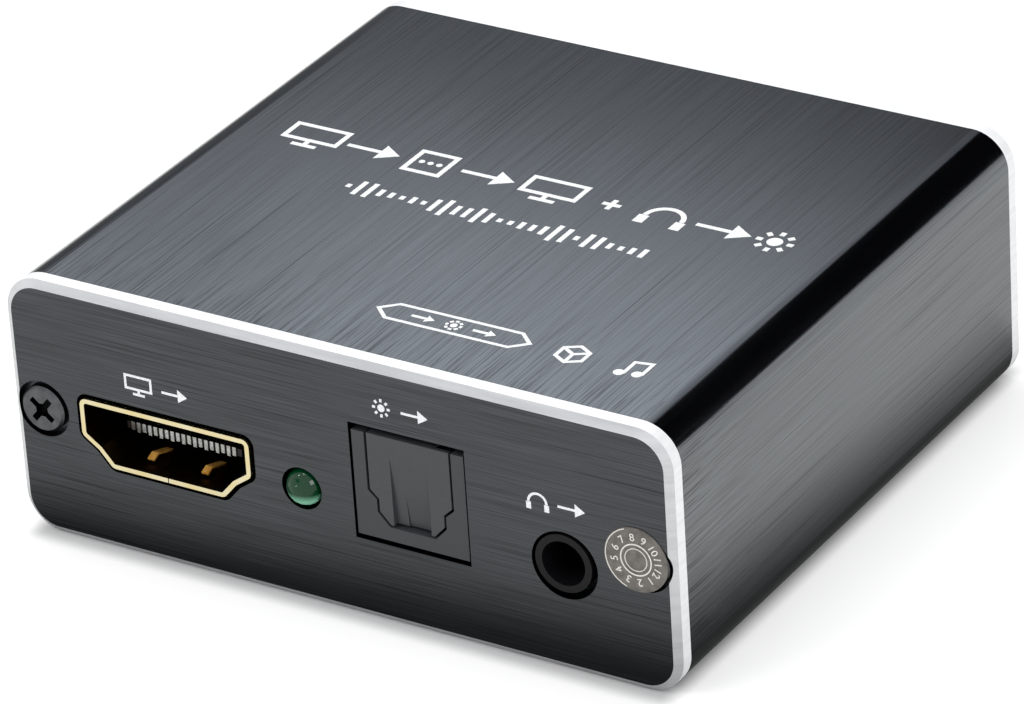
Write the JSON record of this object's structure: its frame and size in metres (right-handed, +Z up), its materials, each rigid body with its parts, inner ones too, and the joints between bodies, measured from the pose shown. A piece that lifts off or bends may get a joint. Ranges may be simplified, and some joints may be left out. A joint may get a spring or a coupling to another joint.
{
  "type": "audio extractor",
  "caption": "Small brushed aluminium desktop box that splits sound from a video signal, with screwed end panels, video, optical and jack sockets, and a slide switch.",
  "frame": {"origin": "middle of the flat underside of the case", "axes": "+Z up, -Y out of the output panel, +X to the right as the output panel is looked at"},
  "size_m": [0.057, 0.0542, 0.0215],
  "materials": {
    "anodised_tube": "satin",
    "panel_aluminium": "satin",
    "screw_steel": "satin",
    "seal_film": "gloss",
    "board_laminate": "satin",
    "gold_plate": "gloss",
    "socket_moulding": "satin",
    "contact_plate": "satin",
    "optical_moulding": "satin",
    "shutter_moulding": "satin",
    "spring_steel": "satin",
    "emitter_moulding": "satin",
    "lamp_epoxy": "gloss",
    "jack_moulding": "satin",
    "switch_steel": "satin",
    "switch_moulding": "satin",
    "wiper_bronze": "satin",
    "chip_epoxy": "matte",
    "can_metal": "satin",
    "base_moulding": "matte",
    "coil_ferrite": "matte",
    "part_ceramic": "matte"
  },
  "bodies": {
    "case": {"case_tube": "anodised_tube", "front_panel": "panel_aluminium", "rear_panel": "panel_aluminium", "front_screws": "screw_steel", "rear_screws": "screw_steel", "seal": "seal_film", "circuit_board": "board_laminate", "video_out_shell": "gold_plate", "video_in_shell": "gold_plate", "video_out_insulator": "socket_moulding", "video_in_insulator": "socket_moulding", "video_out_contacts": "contact_plate", "video_in_contacts": "contact_plate", "audio_jack_contacts": "contact_plate", "power_jack_pin": "contact_plate", "power_jack_terminals": "contact_plate", "emitter_leads": "contact_plate", "lamp_leads": "contact_plate", "switch_terminals": "contact_plate", "chip_leads": "contact_plate", "optical_housing": "optical_moulding", "shutter_pin": "spring_steel", "optical_emitter": "emitter_moulding", "lamp_lens": "lamp_epoxy", "audio_jack_housing": "jack_moulding", "power_jack_housing": "jack_moulding", "switch_frame": "switch_steel", "switch_base": "switch_moulding", "main_chip": "chip_epoxy", "audio_chip": "chip_epoxy", "crystal": "can_metal", "capacitor_cans": "can_metal", "capacitor_bases": "base_moulding", "power_coil": "coil_ferrite", "small_parts": "part_ceramic"},
    "shutter": {"optical_shutter": "shutter_moulding", "shutter_spring": "spring_steel"},
    "knob": {"switch_knob": "switch_moulding", "switch_wiper": "wiper_bronze"}
  },
  "joints": [
    {"name": "shutter_hinge", "type": "hinge", "parent": "case", "child": "shutter", "pos_m": [0.0064, -0.02518, 0.01515], "axis": [1, 0, 0], "range_deg": [0, 85], "stiffness_Nm_per_rad": 0.00005, "springref_deg": -28.65},
    {"name": "mode_slide", "type": "slide", "parent": "case", "child": "knob", "axis": [1, 0, 0], "range_m": [-0.002, 0.002]}
  ]
}
